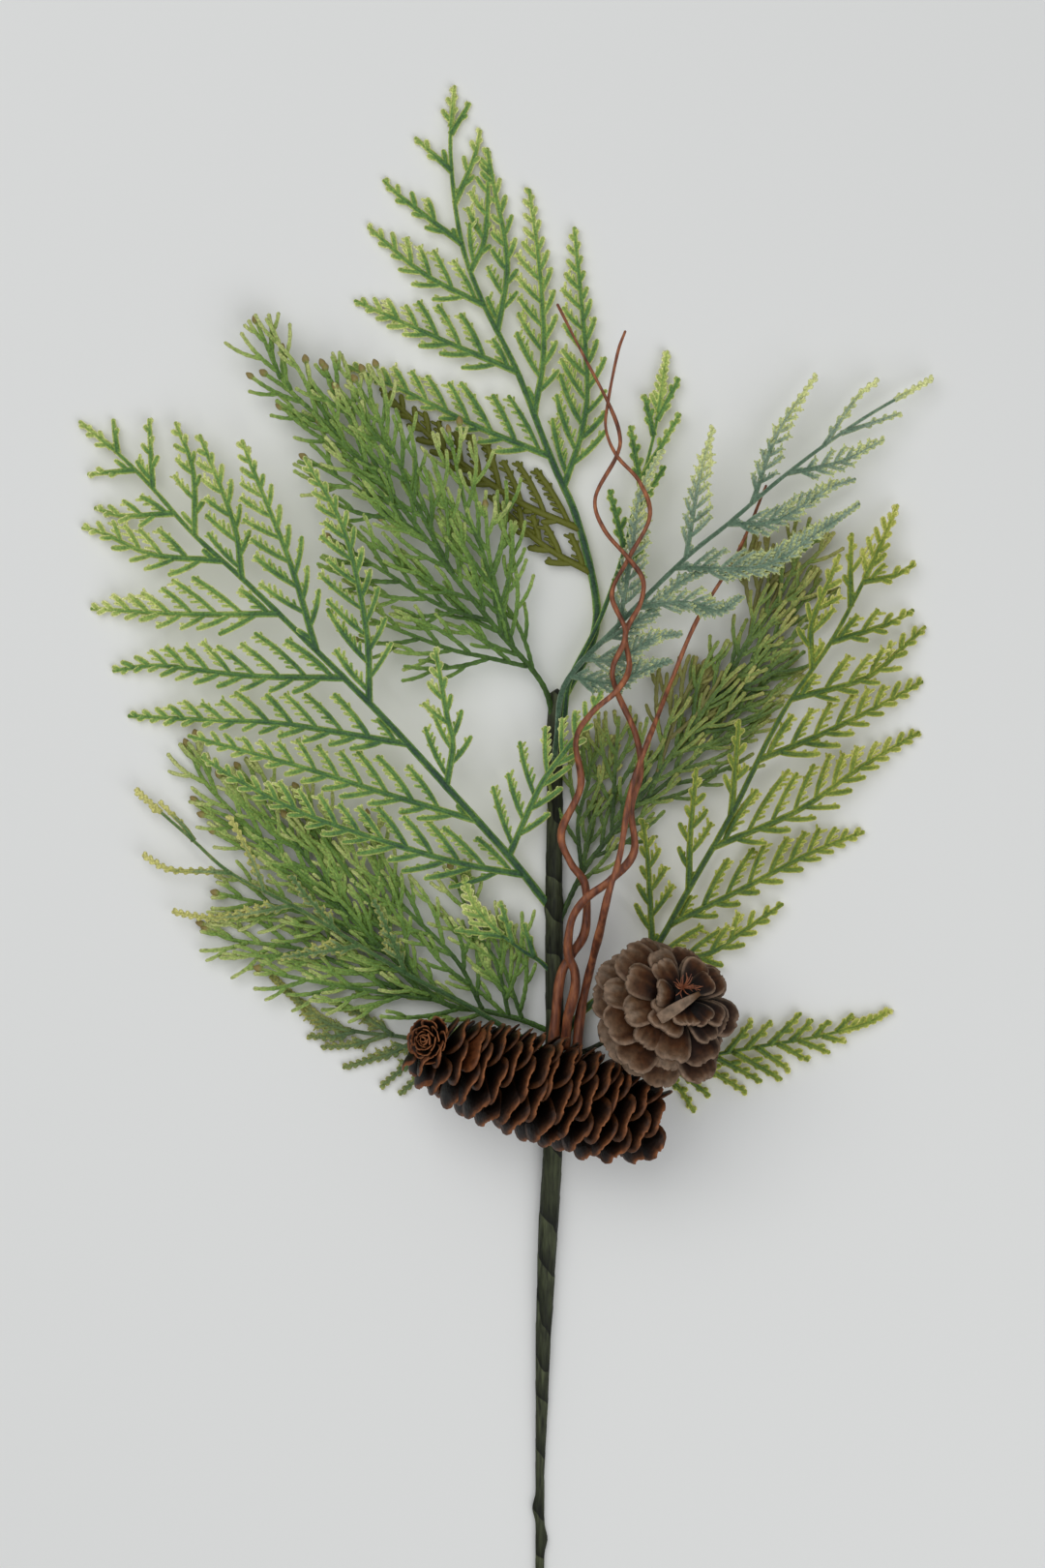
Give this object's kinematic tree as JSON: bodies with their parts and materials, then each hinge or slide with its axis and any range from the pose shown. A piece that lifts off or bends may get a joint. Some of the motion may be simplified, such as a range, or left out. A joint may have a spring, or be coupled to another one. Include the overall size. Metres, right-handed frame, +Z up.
{
  "type": "artificial incense cedar branch",
  "caption": "Artificial incense cedar branch lying flat: moulded fronds and string sprays on a taped wire stem, with twisted vine twigs and two real cones.",
  "frame": {"origin": "on the surface it lies on, under the stem, on the flat underside facet just below the cones", "axes": "+X to the right and +Y towards the frond tips as seen from above, +Z up from the surface"},
  "size_m": [0.3742, 0.6607, 0.0754],
  "materials": {
    "stem_tape": "waxed crepe tape",
    "wire": "cut galvanised wire",
    "fresh_plastic": "moulded, sprayed green with yellow tips",
    "olive_plastic": "moulded, olive green with yellow tips",
    "string_plastic": "moulded round strings with brown bud tips",
    "blue_plastic": "moulded, blue-green bloom with yellow tips",
    "dusk_plastic": "moulded, dark blue-green",
    "vine": "dried red-brown twig",
    "spruce_scale": "dried cone scale, orange-brown rim",
    "pine_scale": "weathered grey-brown cone scale",
    "glue": "set hot-melt glue"
  },
  "bodies": {
    "root": {"main_stem": "stem_tape", "stem_wire": "wire", "left_frond": "fresh_plastic", "top_frond": "fresh_plastic", "right_frond": "olive_plastic", "small_left_frond": "fresh_plastic", "lower_right_frond": "olive_plastic", "middle_right_frond": "fresh_plastic", "right_blue_spray": "blue_plastic", "lower_left_blue_spray": "dusk_plastic", "yellow_tipped_spray": "blue_plastic", "upper_left_string_spray": "string_plastic", "lower_left_string_spray": "string_plastic", "right_string_spray": "string_plastic", "vine_1": "vine", "vine_2": "vine", "vine_3": "vine", "spruce_cone": "spruce_scale", "pine_cone": "pine_scale", "spruce_glue_seat": "glue", "pine_glue_seat": "glue", "pine_stalk": "stem_tape"}
  },
  "joints": []
}
